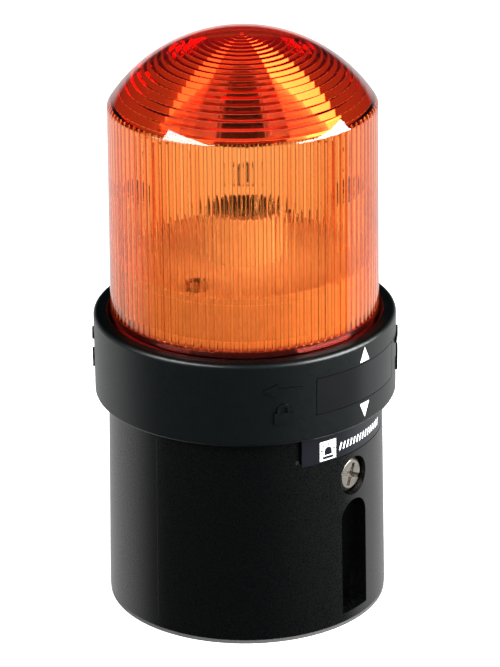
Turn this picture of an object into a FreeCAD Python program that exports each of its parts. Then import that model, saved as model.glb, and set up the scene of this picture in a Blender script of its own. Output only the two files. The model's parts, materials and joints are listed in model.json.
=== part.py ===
import FreeCAD, Part
import math
import os
import re

import Sketcher

# An industrial signal beacon: a black cylindrical base, a turn-to-lock collar and an orange lens.
# Millimetres and degrees. The origin is on the beacon's axis, in the plane that it stands on.
# +Z is up and the front, with the name plate, faces -Y.

doc = FreeCAD.newDocument("SignalBeacon")

DIMENSIONS = {
    # foot and base housing
    "gasket_thickness": 1.0,
    "gasket_radius": 34.9,
    "gasket_bore_radius": 21.0,
    "base_foot_radius": 35.0,
    "base_rim_radius": 34.12,
    "base_rim_height": 56.0,
    "base_foot_bore_radius": 32.5,
    "base_rim_bore_radius": 31.8,
    "base_floor_top": 3.2,
    "entry_radius": 10.25,
    "base_rim_chamfer": 0.4,
    # fixing channels, front and back
    "fixing_offset": 31.0,
    "fixing_hole_radius": 2.25,
    "channel_half_width": 4.8,
    "channel_arch_height": 28.4,
    "channel_run_out": 10.0,
    "channel_wall": 2.6,
    "channel_roof": 33.9,
    "recess_radius": 3.2,
    "recess_height": 29.8,
    "recess_floor": 24.8,
    # side screws
    "screw_height": 39.5,
    "screw_pocket_radius": 5.0,
    "screw_seat": 30.6,
    "screw_boss_radius": 7.0,
    "screw_boss_face": 28.6,
    "screw_boss_length": 4.6,
    "screw_clearance_radius": 2.2,
    "screw_head_radius": 4.45,
    "screw_head_height": 2.7,
    "screw_shank_radius": 2.0,
    "screw_shank_length": 7.5,
    "screw_slot_width": 1.15,
    "screw_slot_depth": 1.5,
    "screw_driver_slot_depth": 0.9,
    # name plate
    "plate_half_angle": 27.2,
    "plate_gap_angle": 0.3,
    "plate_notch_angle": 2.8,
    "plate_bottom": 46.1,
    "plate_top": 55.4,
    "plate_gap": 0.2,
    "plate_inner_radius": 33.78,
    "plate_outer_radius": 34.22,
    # cable grommet
    "grommet_flange_radius": 13.0,
    "grommet_neck_radius": 10.2,
    "grommet_bottom": 0.1,
    "grommet_flange_top": 4.6,
    "grommet_tip_radius": 6.2,
    "grommet_shoulder_radius": 7.6,
    "grommet_top": 9.0,
    "cable_radius": 4.0,
    # chassis
    "chassis_bottom": 34.0,
    "chassis_skirt_radius": 28.2,
    "chassis_skirt_bore_radius": 25.9,
    "web_bottom": 52.0,
    "web_top": 54.0,
    "web_hole_radius": 8.6,
    "flange_radius": 33.9,
    "flange_top": 58.0,
    "spigot_radius": 32.2,
    "spigot_top": 66.5,
    "seal_land_radius": 30.4,
    "seal_land_bottom": 67.6,
    "seal_groove_radius": 28.8,
    "seal_groove_bottom": 74.5,
    "seal_groove_top": 76.7,
    "seal_land_top": 77.6,
    "tower_radius": 29.2,
    "tower_shoulder": 78.8,
    "tower_top": 88.0,
    "tower_bore_radius": 27.0,
    "tower_bore_bottom": 57.0,
    "pad_half_width": 6.0,
    "pad_inner_face": 20.0,
    "pad_outer_face": 28.5,
    "pad_top": 46.0,
    "insert_radius": 2.8,
    "insert_length": 6.0,
    "insert_inset": 0.1,
    "insert_bore_radius": 2.0,
    # bayonet
    "lug_half_angle": 5.0,
    "lug_clearance_angle": 0.8,
    "lock_angle": 25.0,
    "lug_tip_radius": 31.2,
    "lug_bottom": 60.0,
    "lug_top": 62.6,
    "slot_floor_radius": 30.85,
    "slot_bottom": 59.2,
    "slot_roof": 63.2,
    # seal
    "seal_ring_radius": 29.85,
    "seal_section_radius": 1.0,
    # lens
    "lens_skirt_radius": 35.0,
    "lens_skirt_bore_radius": 32.8,
    "lens_skirt_bottom": 58.3,
    "lens_skirt_shoulder": 67.0,
    "lens_land_bottom": 68.2,
    "lens_land_radius": 31.4,
    "lens_flange_top": 70.8,
    "lens_foot_radius": 33.3,
    "lens_shoulder_radius": 32.85,
    "lens_root_radius": 31.2,
    "rib_bottom": 77.0,
    "rib_top": 129.0,
    "rib_tip_radius": 30.75,
    "rib_half_width": 0.85,
    "rib_count": 100,
    "dome_centre": 108.0,
    "dome_radius": 39.0,
    "bore_centre": 106.0,
    "bore_radius": 38.0,
    "step_pitch": 1.5,
    "step_count": 20,
    # collar
    "collar_radius": 37.5,
    "collar_bottom": 54.4,
    "collar_top": 75.9,
    "collar_edge": 0.8,
    "collar_rim_edge": 1.2,
    "collar_lip_edge": 0.5,
    "collar_lip_radius": 33.9,
    "collar_lip_bottom": 70.85,
    "collar_bore_radius": 35.05,
    "legend_half_angle": 23.2,
    "legend_gap_angle": 0.3,
    "legend_bottom": 61.0,
    "legend_top": 70.3,
    "legend_gap": 0.16,
    "legend_inner_radius": 37.05,
    "triangle_floor_radius": 37.2,
    "triangle_face_radius": 37.54,
    "triangle_half_width": 1.8,
    "upper_triangle_base": 70.9,
    "upper_triangle_tip": 74.6,
    "lower_triangle_base": 60.0,
    "lower_triangle_tip": 56.2,
    "emboss_radius": 37.95,
    "emboss_angle": 36.5,
    "arrow_height": 68.9,
    "arrow_half_length": 4.9,
    "arrow_head_length": 3.4,
    "arrow_head_half_width": 1.75,
    "arrow_shaft_half_width": 0.5,
    "padlock_height": 61.6,
    "padlock_half_width": 2.3,
    "padlock_body_height": 2.9,
    "shackle_radius": 1.6,
    "shackle_bore_radius": 0.9,
    "shackle_leg": 0.7,
    "shackle_overlap": 0.2,
    "shackle_open_shift": 2.5,
    "shackle_shut_shift": 0.02,
    # lamp plate
    "lamp_plate_radius": 28.9,
    "lamp_plate_top": 90.0,
    "lamp_plate_edge": 0.5,
    "plate_screw_across": 24.6,
    "plate_screw_along": 5.6,
    "plate_screw_boss_radius": 3.2,
    "plate_screw_boss_bottom": 74.0,
    "plate_screw_head_radius": 2.75,
    "plate_screw_head_height": 2.0,
    "plate_screw_shank_radius": 1.5,
    "plate_screw_shank_length": 8.0,
    "plate_screw_slot_width": 0.7,
    "plate_screw_slot_depth": 1.0,
    # lamp holder and its sprung contacts
    "holder_radius": 9.5,
    "holder_bore_radius": 7.75,
    "holder_bottom": 76.0,
    "holder_floor_bottom": 78.0,
    "holder_floor_top": 80.0,
    "holder_flange_radius": 13.0,
    "holder_flange_bottom": 84.2,
    "holder_top": 102.0,
    "holder_mouth_radius": 8.7,
    "holder_mouth_depth": 1.0,
    "pin_slot_radius": 9.0,
    "pin_slot_bottom": 92.2,
    "pin_slot_roof": 96.8,
    "pin_slot_half_angle": 9.0,
    "bulb_turn": 22.0,
    "carrier_radius": 7.4,
    "carrier_bottom": 85.6,
    "carrier_top": 87.2,
    "stud_offset": 3.5,
    "stud_head_radius": 1.7,
    "stud_top": 88.6,
    "stud_stem_radius": 0.8,
    "stud_stem_bottom": 76.2,
    "stud_clearance_radius": 0.88,
    "spring_radius": 2.0,
    "spring_wire_radius": 0.3,
    "spring_pitch": 1.2,
    # lamp
    "cap_radius": 7.6,
    "cap_bore_radius": 7.3,
    "cap_bottom": 89.2,
    "cap_top": 102.4,
    "pin_radius": 1.0,
    "pin_height": 95.5,
    "pin_tip": 8.75,
    "insulator_top": 91.0,
    "insulator_face": 88.95,
    "solder_radius": 1.8,
    "solder_face": 88.65,
    "glass_radius": 8.0,
    "glass_wall": 0.6,
    "glass_neck_radius": 7.2,
    "glass_neck_bottom": 98.0,
    "glass_neck_top": 102.6,
    "glass_body_bottom": 105.2,
    "glass_body_top": 116.6,
    "stem_foot_radius": 6.4,
    "stem_waist_radius": 1.8,
    "stem_waist_height": 102.0,
    "stem_top": 108.0,
    "filament_height": 113.0,
    "filament_lead_offset": 1.7,
    "filament_lead_radius": 0.2,
    "filament_coil_radius": 0.5,
    "filament_wire_radius": 0.12,
    "filament_pitch": 0.5,
    # terminals
    "terminal_half_length": 12.0,
    "terminal_half_width": 6.0,
    "terminal_bottom": 38.0,
    "pole_offset": 6.0,
    "clamp_width": 6.8,
    "clamp_depth": 7.6,
    "clamp_bottom": 41.5,
    "clamp_top": 49.0,
    "clamp_gap": 0.2,
    "wire_hole_radius": 1.6,
    "wire_hole_height": 45.0,
    "clamp_screw_head_radius": 2.4,
    "clamp_screw_head_height": 1.6,
    "clamp_screw_radius": 1.25,
    "clamp_screw_length": 4.0,
    "strip_thickness": 0.5,
    "strip_half_width": 1.5,
    "strip_tab_top": 77.9,
    "strip_tab_inner": 2.2,
}

sheet = doc.addObject("Spreadsheet::Sheet", "Dims")
for row, (alias, number) in enumerate(DIMENSIONS.items(), start=1):
    sheet.set(f"A{row}", alias)
    sheet.set(f"B{row}", str(number))
    sheet.setAlias(f"B{row}", alias)
doc.recompute()

SIDES = (("front", -1), ("back", 1))
POLES = (("left", -1), ("right", 1))
FRONT_ANGLE = -90
LUG_ANGLES = (-30, 90, 210)
UP = FreeCAD.Vector(0, 0, 1)
ACROSS = FreeCAD.Vector(1, 0, 0)
ALONG = FreeCAD.Vector(0, 1, 0)
parts = {}


def named(expression):
    """Write the sheet's names in full, so that the expression works in any object."""
    def full(match):
        word = match.group(0)
        return "Dims." + word if word in DIMENSIONS else word
    return re.sub(r"[a-z][a-z_]*", full, str(expression))


def value(expression):
    """Give the number that an expression has now."""
    return float(evaluator.evalExpression(named(expression)))


def bind(thing, **expressions):
    """Bind properties to expressions; x, y and z are the placement's base."""
    for prop, expression in expressions.items():
        path = "Placement.Base." + prop if prop in "xyz" else prop
        thing.setExpression(path, named(expression))
    return thing


evaluator = doc.addObject("Part::Feature", "Evaluator")


# ---------------------------------------------------------------- primitives and booleans
def cylinder(name, radius, height, x="0", y="0", z="0", turn=None, angle=360):
    thing = doc.addObject("Part::Cylinder", name)
    if turn is not None:
        thing.Placement = FreeCAD.Placement(FreeCAD.Vector(), turn)
    return bind(thing, Radius=radius, Height=height, Angle=angle, x=x, y=y, z=z)


def box(name, length, width, height, x="0", y="0", z="0"):
    thing = doc.addObject("Part::Box", name)
    return bind(thing, Length=length, Width=width, Height=height, x=x, y=y, z=z)


def fuse(name, shapes):
    thing = doc.addObject("Part::MultiFuse", name)
    thing.Shapes = shapes
    thing.Refine = True
    return thing


def common(name, shapes):
    thing = doc.addObject("Part::MultiCommon", name)
    thing.Shapes = shapes
    return thing


def cut(name, base, tools):
    thing = doc.addObject("Part::Cut", name)
    thing.Base = base
    thing.Tool = tools[0] if len(tools) == 1 else fuse(name + "_tools", tools)
    return thing


def group(name, shapes):
    """Keep separate solids together in one sub-part."""
    thing = doc.addObject("Part::Compound", name)
    thing.Links = shapes
    return thing


def radial(name, side, radius, start, length, height):
    """A cylinder that points out of the beacon's side along Y."""
    turn = FreeCAD.Rotation(ACROSS, -90 * side)
    return cylinder(name, radius, length, y=f"{side} * ({start})", z=height, turn=turn)


def ring_sector(name, inner, outer, bottom, top, middle, half):
    """A part of a ring about the axis; middle is in degrees, half is an expression."""
    start = FreeCAD.Rotation(UP, middle - value(half))
    height = f"{top} - ({bottom})"
    whole = cylinder(name + "_outer", outer, height, z=bottom, turn=start, angle=f"2 * ({half})")
    core = cylinder(name + "_core", inner, f"{height} + 2", z=f"{bottom} - 1")
    return cut(name, whole, [core])


def ring(name, inner, outer, bottom, top):
    whole = cylinder(name + "_outer", outer, f"{top} - ({bottom})", z=bottom)
    core = cylinder(name + "_core", inner, f"{top} - ({bottom}) + 2", z=f"{bottom} - 1")
    return cut(name, whole, [core])


# ---------------------------------------------------------------- sketches
def arc_between(start, end, radius):
    """An arc from start to end; the centre is on the left of the way for a positive radius."""
    chord = end - start
    middle = (start + end) * 0.5
    left = FreeCAD.Vector(-chord.y, chord.x, 0).normalize()
    offset = math.sqrt(max(radius * radius - chord.Length ** 2 / 4, 0.0))
    centre = middle + left * math.copysign(offset, radius)
    circle = Part.Circle(centre, UP, abs(radius))
    first = math.atan2(start.y - centre.y, start.x - centre.x)
    last = math.atan2(end.y - centre.y, end.x - centre.x)
    if radius > 0:
        return Part.ArcOfCircle(circle, first, last), (1, 2)
    return Part.ArcOfCircle(circle, last, first), (2, 1)


def draw_outline(sketch, outline):
    """Draw a closed outline. A corner is (x, y), or (x, y, radius) where an arc leaves it."""
    corners = [FreeCAD.Vector(value(c[0]), value(c[1]), 0) for c in outline]
    ends = []
    for index, corner in enumerate(outline):
        start = corners[index]
        end = corners[(index + 1) % len(corners)]
        if len(corner) == 3:
            curve, order = arc_between(start, end, value(corner[2]))
        else:
            curve, order = Part.LineSegment(start, end), (1, 2)
        number = sketch.addGeometry(curve, False)
        ends.append((number, order[0], order[1]))
        if len(corner) == 3:
            size = Sketcher.Constraint("Radius", number, abs(value(corner[2])))
            sketch.setExpression(f"Constraints[{sketch.addConstraint(size)}]",
                                 named(corner[2].lstrip("-")))
    for index, corner in enumerate(outline):
        here = ends[index]
        before = ends[index - 1]
        sketch.addConstraint(Sketcher.Constraint("Coincident", before[0], before[2], here[0], here[1]))
        place_corner(sketch, here, corner, corners[index])


def place_corner(sketch, end, corner, point):
    """Tie one corner to the sketch's axes or to the sheet."""
    for kind, expression, number, axis in (("DistanceX", corner[0], point.x, -2),
                                           ("DistanceY", corner[1], point.y, -1)):
        if expression == "0":
            sketch.addConstraint(Sketcher.Constraint("PointOnObject", end[0], end[1], axis))
            continue
        rule = Sketcher.Constraint(kind, -1, 1, end[0], end[1], number)
        sketch.setExpression(f"Constraints[{sketch.addConstraint(rule)}]", named(expression))


def new_sketch(body, name, role):
    sketch = body.newObject("Sketcher::SketchObject", name)
    plane = [feature for feature in body.Origin.OriginFeatures if feature.Role == role][0]
    sketch.AttachmentSupport = (plane, "")
    sketch.MapMode = "FlatFace"
    return sketch


def revolved(name, outline):
    """A body turned about the beacon's axis; the outline's corners are (radius, height)."""
    body = doc.addObject("PartDesign::Body", name)
    sketch = new_sketch(body, name + "_profile", "XZ_Plane")
    draw_outline(sketch, outline)
    turn = body.newObject("PartDesign::Revolution", name + "_turn")
    turn.Profile = sketch
    turn.ReferenceAxis = (sketch, ["V_Axis"])
    turn.Angle = 360
    doc.recompute()
    return body


def front_prism(name, outline, angle=0):
    """A prism through the front surface, turned about the axis; corners are (across, height)."""
    sketch = doc.addObject("Sketcher::SketchObject", name + "_outline")
    upright = FreeCAD.Rotation(ACROSS, 90)
    sketch.Placement = FreeCAD.Placement(FreeCAD.Vector(), FreeCAD.Rotation(UP, angle) * upright)
    draw_outline(sketch, outline)
    prism = doc.addObject("Part::Extrusion", name)
    prism.Base = sketch
    prism.DirMode = "Normal"
    prism.Solid = True
    prism.LengthFwd = 0
    bind(prism, LengthFwd="collar_radius + channel_run_out")
    return prism


# ---------------------------------------------------------------- screws
def screw(name, size, driver_slot=False):
    """A pan-head screw with a cross recess, its tip at its own origin."""
    shank = f"{size}_shank_length"
    head = f"{shank} + {size}_head_height"
    width = f"{size}_slot_width"
    depth = f"{size}_slot_depth"
    body = revolved(name + "_blank", [
        ("0", "0"),
        (f"{size}_shank_radius - 0.4", "0"),
        (f"{size}_shank_radius", "0.5"),
        (f"{size}_shank_radius", shank),
        (f"{size}_head_radius", shank),
        (f"{size}_head_radius", f"{head} - 0.9"),
        (f"{size}_head_radius - 0.9", head),
        ("0", head),
    ])
    reach = f"{size}_head_radius * 1.3"
    floor = f"{head} - ({depth})"
    tools = [
        box(name + "_bar", reach, width, depth, x=f"-({reach}) / 2", y=f"-{width} / 2", z=floor),
        box(name + "_cross", width, reach, depth, x=f"-{width} / 2", y=f"-({reach}) / 2", z=floor),
        cylinder(name + "_centre", width, depth, z=floor),
    ]
    if driver_slot:
        across = f"2 * {size}_head_radius + 1"
        tools.append(box(name + "_slot", across, width, f"{size}_driver_slot_depth + 1",
                         x=f"-({across}) / 2", y=f"-{width} / 2",
                         z=f"{head} - {size}_driver_slot_depth"))
    return cut(name, body, tools)


def finish(label, thing):
    thing.Label = label
    parts[label] = thing


# ---------------------------------------------------------------- base
def fixing_holes(name, top):
    return [cylinder(f"{name}_hole_{end}", "fixing_hole_radius", f"{top} + 2",
                     y=f"{side} * fixing_offset", z="-1") for end, side in SIDES]


def channel_prism(name, side, half_width, bottom, top):
    """A U-shaped column, open towards the outside, round the fixing hole's axis."""
    height = f"{top} - ({bottom})"
    round_end = cylinder(name + "_round", half_width, height, y=f"{side} * fixing_offset", z=bottom)
    near = "fixing_offset" if side > 0 else "-(fixing_offset + channel_run_out)"
    straight = box(name + "_straight", f"2 * ({half_width})", "channel_run_out", height,
                   x=f"-({half_width})", y=near, z=bottom)
    return fuse(name, [round_end, straight])


def channel_cut(name, side):
    """The fixing channel, with an arched top."""
    column = channel_prism(name + "_column", side, "channel_half_width", "base_floor_top",
                           "channel_roof")
    arch = radial(name + "_arch", side, "channel_half_width", "recess_floor - 1",
                  "2 * channel_run_out", "channel_arch_height")
    start = "recess_floor - 1" if side > 0 else "-(recess_floor - 1 + 2 * channel_run_out)"
    lower = box(name + "_lower", "2 * channel_half_width", "2 * channel_run_out",
                "channel_arch_height", x="-channel_half_width", y=start)
    return common(name, [column, fuse(name + "_window", [arch, lower])])


def build_base_gasket():
    disc = ring("gasket_disc", "gasket_bore_radius", "gasket_radius", "0", "gasket_thickness")
    finish("base_gasket", cut("base_gasket", disc, fixing_holes("gasket", "gasket_thickness")))


def build_base_housing():
    shell = revolved("housing_shell", [
        ("entry_radius", "gasket_thickness"),
        ("base_foot_radius", "gasket_thickness"),
        ("base_rim_radius", "base_rim_height - base_rim_chamfer"),
        ("base_rim_radius - base_rim_chamfer", "base_rim_height"),
        ("base_rim_bore_radius", "base_rim_height"),
        ("base_foot_bore_radius", "base_floor_top"),
        ("entry_radius", "base_floor_top"),
    ])
    inside = cylinder("housing_inside", "base_foot_bore_radius + 0.9", "base_rim_height",
                      z="gasket_thickness")
    columns = []
    tools = fixing_holes("housing", "base_floor_top")
    for end, side in SIDES:
        columns.append(channel_prism(f"liner_{end}", side, "channel_half_width + channel_wall",
                                     "gasket_thickness", "channel_roof"))
        columns.append(radial(f"boss_{end}", side, "screw_boss_radius", "screw_boss_face",
                              "screw_boss_length", "screw_height"))
        tools.append(channel_cut(f"channel_{end}", side))
        tools.append(radial(f"recess_{end}", side, "recess_radius", "recess_floor",
                            "channel_run_out + 4", "recess_height"))
        tools.append(radial(f"pocket_{end}", side, "screw_pocket_radius", "screw_seat",
                            "channel_run_out", "screw_height"))
        tools.append(radial(f"screw_hole_{end}", side, "screw_clearance_radius",
                            "screw_boss_face - 1", "channel_run_out", "screw_height"))
    liners = common("housing_liners", [inside, fuse("housing_columns", columns)])
    tools.append(ring_sector("plate_recess", "plate_inner_radius", "collar_radius",
                             "plate_bottom - plate_gap", "base_rim_height + 1", FRONT_ANGLE,
                             "plate_half_angle + plate_gap_angle"))
    notch_middle = FRONT_ANGLE - value("plate_half_angle + plate_notch_angle / 2")
    tools.append(ring_sector("plate_notch", "plate_inner_radius - 0.5", "collar_radius",
                             "plate_bottom + 1", "base_rim_height + 1", notch_middle,
                             "plate_notch_angle / 2"))
    body = fuse("housing_body", [shell, liners])
    finish("base_housing", cut("base_housing", body, tools))


def build_cable_grommet():
    finish("cable_grommet", revolved("grommet_body", [
        ("cable_radius", "grommet_bottom"),
        ("grommet_flange_radius", "grommet_bottom"),
        ("grommet_flange_radius", "gasket_thickness"),
        ("grommet_neck_radius", "gasket_thickness"),
        ("grommet_neck_radius", "base_floor_top"),
        ("grommet_flange_radius", "base_floor_top"),
        ("grommet_flange_radius", "grommet_flange_top"),
        ("grommet_shoulder_radius", "grommet_flange_top"),
        ("grommet_tip_radius", "grommet_top"),
        ("cable_radius", "grommet_top"),
    ]))


def build_name_plate():
    finish("name_plate", ring_sector("name_plate_body", "plate_inner_radius + 0.02",
                                     "plate_outer_radius", "plate_bottom", "plate_top",
                                     FRONT_ANGLE, "plate_half_angle"))


def build_side_screws():
    screws = []
    for end, side in SIDES:
        thing = screw(f"side_screw_{end}", "screw", driver_slot=True)
        tip = side * value("screw_seat + 0.02 - screw_shank_length")
        spin = FreeCAD.Rotation(UP, -24)
        out = FreeCAD.Rotation(ACROSS, -90 * side)
        thing.Placement = FreeCAD.Placement(FreeCAD.Vector(0, tip, value("screw_height")), out * spin)
        screws.append(thing)
    finish("side_screws", group("side_screws", screws))


def build_screw_inserts():
    inserts = []
    for end, side in SIDES:
        name = f"insert_{end}"
        start = "pad_outer_face - insert_inset - insert_length"
        barrel = radial(name + "_barrel", side, "insert_radius", start, "insert_length",
                        "screw_height")
        bore = radial(name + "_bore", side, "insert_bore_radius", f"{start} - 1",
                      "insert_length + 2", "screw_height")
        waist = radial(name + "_waist", side, "insert_radius + 1", f"{start} + 2.4", "1.2",
                       "screw_height")
        neck = radial(name + "_neck", side, "insert_radius - 0.4", f"{start} + 2", "2",
                      "screw_height")
        inserts.append(cut(name, barrel, [bore, cut(name + "_groove", waist, [neck])]))
    finish("screw_inserts", group("screw_inserts", inserts))


# ---------------------------------------------------------------- chassis
def bayonet_slot(name, angle):
    """An L-shaped slot: the lug drops in from above, then turns clockwise under the roof."""
    half = "lug_half_angle + lug_clearance_angle"
    entry = ring_sector(name + "_entry", "slot_floor_radius", "spigot_radius + 1", "slot_bottom",
                        "seal_land_bottom", angle, half)
    run = ring_sector(name + "_run", "slot_floor_radius", "spigot_radius + 1", "slot_bottom",
                      "slot_roof", angle - value("lock_angle") / 2, f"{half} + lock_angle / 2")
    return [entry, run]


def build_chassis():
    shell = revolved("chassis_shell", [
        ("chassis_skirt_bore_radius", "chassis_bottom"),
        ("chassis_skirt_radius", "chassis_bottom"),
        ("chassis_skirt_radius", "base_rim_height"),
        ("flange_radius", "base_rim_height"),
        ("flange_radius", "flange_top"),
        ("spigot_radius", "flange_top"),
        ("spigot_radius", "spigot_top"),
        ("seal_land_radius", "seal_land_bottom"),
        ("seal_land_radius", "seal_groove_bottom"),
        ("seal_groove_radius", "seal_groove_bottom"),
        ("seal_groove_radius", "seal_groove_top"),
        ("seal_land_radius", "seal_groove_top"),
        ("seal_land_radius", "seal_land_top"),
        ("tower_radius", "tower_shoulder"),
        ("tower_radius", "tower_top"),
        ("tower_bore_radius", "tower_top"),
        ("tower_bore_radius", "tower_bore_bottom"),
        ("chassis_skirt_bore_radius", "web_top"),
        ("web_hole_radius", "web_top"),
        ("web_hole_radius", "web_bottom"),
        ("chassis_skirt_bore_radius", "web_bottom"),
    ])
    solids = [shell]
    tools = []
    for end, side in SIDES:
        near = "pad_inner_face" if side > 0 else "-pad_outer_face"
        solids.append(box(f"pad_{end}", "2 * pad_half_width", "pad_outer_face - pad_inner_face",
                          "pad_top - chassis_bottom", x="-pad_half_width", y=near,
                          z="chassis_bottom"))
        start = "pad_outer_face - insert_inset - insert_length"
        tools.append(radial(f"insert_seat_{end}", side, "insert_radius", start, "channel_run_out",
                            "screw_height"))
        tools.append(radial(f"insert_relief_{end}", side, "screw_clearance_radius",
                            "pad_inner_face - 1", "channel_run_out", "screw_height"))
    for end, side in POLES:
        place = {"x": f"{side} * plate_screw_across", "y": f"{side} * plate_screw_along"}
        solids.append(cylinder(f"plate_boss_{end}", "plate_screw_boss_radius",
                               "tower_top - plate_screw_boss_bottom",
                               z="plate_screw_boss_bottom", **place))
        tools.append(cylinder(f"plate_boss_hole_{end}", "plate_screw_shank_radius",
                              "plate_screw_shank_length + 2",
                              z="tower_top - plate_screw_shank_length", **place))
    outside = cylinder("tower_outside", "tower_radius", "tower_top")
    for number, angle in enumerate(LUG_ANGLES):
        tools.extend(bayonet_slot(f"slot_{number}", angle))
    bosses = common("plate_bosses", [outside, fuse("plate_boss_pair", solids[3:])])
    body = fuse("chassis_body", solids[:3] + [bosses])
    finish("chassis", cut("chassis", body, tools))


def build_collar_seal():
    thing = doc.addObject("Part::Torus", "seal_ring")
    bind(thing, Radius1="seal_ring_radius", Radius2="seal_section_radius",
         z="(seal_groove_bottom + seal_groove_top) / 2")
    finish("collar_seal", thing)


# ---------------------------------------------------------------- terminals
def build_terminal_block():
    body = box("terminal_body", "2 * terminal_half_length", "2 * terminal_half_width",
               "web_bottom - terminal_bottom", x="-terminal_half_length",
               y="-terminal_half_width", z="terminal_bottom")
    tools = []
    for end, side in POLES:
        place = f"{side} * pole_offset"
        tools.append(box(f"clamp_cell_{end}", "clamp_width + 2 * clamp_gap",
                         "clamp_depth + 2 * clamp_gap", "clamp_top - terminal_bottom + 1",
                         x=f"{place} - clamp_width / 2 - clamp_gap",
                         y="-clamp_depth / 2 - clamp_gap", z="terminal_bottom - 1"))
        along = FreeCAD.Rotation(ACROSS, 90)
        tools.append(cylinder(f"wire_entry_{end}", "wire_hole_radius + 0.3",
                              "terminal_half_width + 1", x=place, z="wire_hole_height", turn=along))
        tools.append(box(f"strip_slit_{end}", "strip_thickness + 0.2", "2 * strip_half_width + 0.2",
                         "web_bottom - clamp_top + 2",
                         x=f"{place} - strip_thickness / 2 - 0.1",
                         y="-strip_half_width - 0.1", z="clamp_top - 1"))
    finish("terminal_block", cut("terminal_block", body, tools))


def build_terminal_clamps():
    clamps = []
    for end, side in POLES:
        name = f"clamp_{end}"
        place = f"{side} * pole_offset"
        body = box(name + "_body", "clamp_width", "clamp_depth", "clamp_top - clamp_bottom",
                   x=f"{place} - clamp_width / 2", y="-clamp_depth / 2", z="clamp_bottom")
        wire = cylinder(name + "_wire", "wire_hole_radius", "clamp_depth + 2", x=place,
                        y="clamp_depth / 2 + 1", z="wire_hole_height",
                        turn=FreeCAD.Rotation(ACROSS, 90))
        thread = cylinder(name + "_thread", "clamp_screw_radius",
                          "wire_hole_height - clamp_bottom + 1", x=place, z="clamp_bottom - 1")
        clamps.append(cut(name, body, [wire, thread]))
    finish("terminal_clamps", group("terminal_clamps", clamps))


def build_terminal_screws():
    screws = []
    for end, side in POLES:
        name = f"clamp_screw_{end}"
        place = f"{side} * pole_offset"
        head = cylinder(name + "_head", "clamp_screw_head_radius", "clamp_screw_head_height",
                        x=place, z="clamp_bottom - clamp_screw_head_height")
        shank = cylinder(name + "_shank", "clamp_screw_radius", "clamp_screw_length + 0.5",
                         x=place, z="clamp_bottom - 0.5")
        slot = box(name + "_slot", "0.6", "2 * clamp_screw_head_radius + 1", "1.7",
                   x=f"{place} - 0.3", y="-clamp_screw_head_radius - 0.5",
                   z="clamp_bottom - clamp_screw_head_height - 1")
        screws.append(cut(name, fuse(name + "_body", [head, shank]), [slot]))
    finish("terminal_screws", group("terminal_screws", screws))


def build_contact_strips():
    strips = []
    for end, side in POLES:
        name = f"strip_{end}"
        riser = box(name + "_riser", "strip_thickness", "2 * strip_half_width",
                    "strip_tab_top - clamp_top", x=f"{side} * pole_offset - strip_thickness / 2",
                    y="-strip_half_width", z="clamp_top")
        reach = "pole_offset + strip_thickness / 2 - strip_tab_inner"
        near = "strip_tab_inner" if side > 0 else "-pole_offset - strip_thickness / 2"
        tab = box(name + "_tab", reach, "2 * strip_half_width", "strip_thickness", x=near,
                  y="-strip_half_width", z="strip_tab_top - strip_thickness")
        hole = cylinder(name + "_hole", "stud_clearance_radius", "3",
                        x=f"{side} * stud_offset", z="strip_tab_top - 2")
        strips.append(cut(name, fuse(name + "_body", [riser, tab]), [hole]))
    finish("contact_strips", group("contact_strips", strips))


# ---------------------------------------------------------------- lamp holder
def build_lampholder():
    shell = revolved("holder_shell", [
        ("holder_bore_radius", "holder_bottom"),
        ("holder_radius", "holder_bottom"),
        ("holder_radius", "holder_flange_bottom"),
        ("holder_flange_radius", "holder_flange_bottom"),
        ("holder_flange_radius", "tower_top"),
        ("holder_radius", "tower_top"),
        ("holder_radius", "holder_top - 0.3"),
        ("holder_radius - 0.3", "holder_top"),
        ("holder_mouth_radius", "holder_top"),
        ("holder_bore_radius", "holder_top - holder_mouth_depth"),
    ])
    floor = cylinder("holder_floor", "holder_bore_radius + 0.5",
                     "holder_floor_top - holder_floor_bottom", z="holder_floor_bottom")
    tools = []
    for end, side in POLES:
        tools.append(cylinder(f"stud_guide_{end}", "stud_clearance_radius", "6",
                              x=f"{side} * stud_offset", z="holder_floor_bottom - 1"))
    for end, side in SIDES:
        rest = 90 * side
        turn = value("bulb_turn")
        tools.append(ring_sector(f"pin_entry_{end}", "holder_bore_radius - 1", "pin_slot_radius",
                                 "pin_slot_bottom", "holder_top + 1", rest + turn,
                                 "pin_slot_half_angle"))
        tools.append(ring_sector(f"pin_run_{end}", "holder_bore_radius - 1", "pin_slot_radius",
                                 "pin_slot_bottom", "pin_slot_roof", rest + turn / 2,
                                 "pin_slot_half_angle + bulb_turn / 2"))
    finish("lampholder", cut("lampholder", fuse("holder_body", [shell, floor]), tools))


def build_lamp_plate():
    disc = revolved("lamp_plate_disc", [
        ("holder_radius + 0.1", "tower_top"),
        ("lamp_plate_radius", "tower_top"),
        ("lamp_plate_radius", "lamp_plate_top - lamp_plate_edge"),
        ("lamp_plate_radius - lamp_plate_edge", "lamp_plate_top"),
        ("holder_radius + 0.1", "lamp_plate_top"),
    ])
    holes = [cylinder(f"lamp_plate_hole_{end}", "plate_screw_shank_radius + 0.1", "6",
                      x=f"{side} * plate_screw_across", y=f"{side} * plate_screw_along",
                      z="tower_top - 2") for end, side in POLES]
    finish("lamp_plate", cut("lamp_plate", disc, holes))


def build_plate_screws():
    screws = []
    for end, side in POLES:
        thing = screw(f"plate_screw_{end}", "plate_screw")
        tip = value("lamp_plate_top - plate_screw_shank_length")
        place = FreeCAD.Vector(side * value("plate_screw_across"),
                               side * value("plate_screw_along"), tip)
        thing.Placement = FreeCAD.Placement(place, FreeCAD.Rotation(UP, 20 * side))
        screws.append(thing)
    finish("plate_screws", group("plate_screws", screws))


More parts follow.
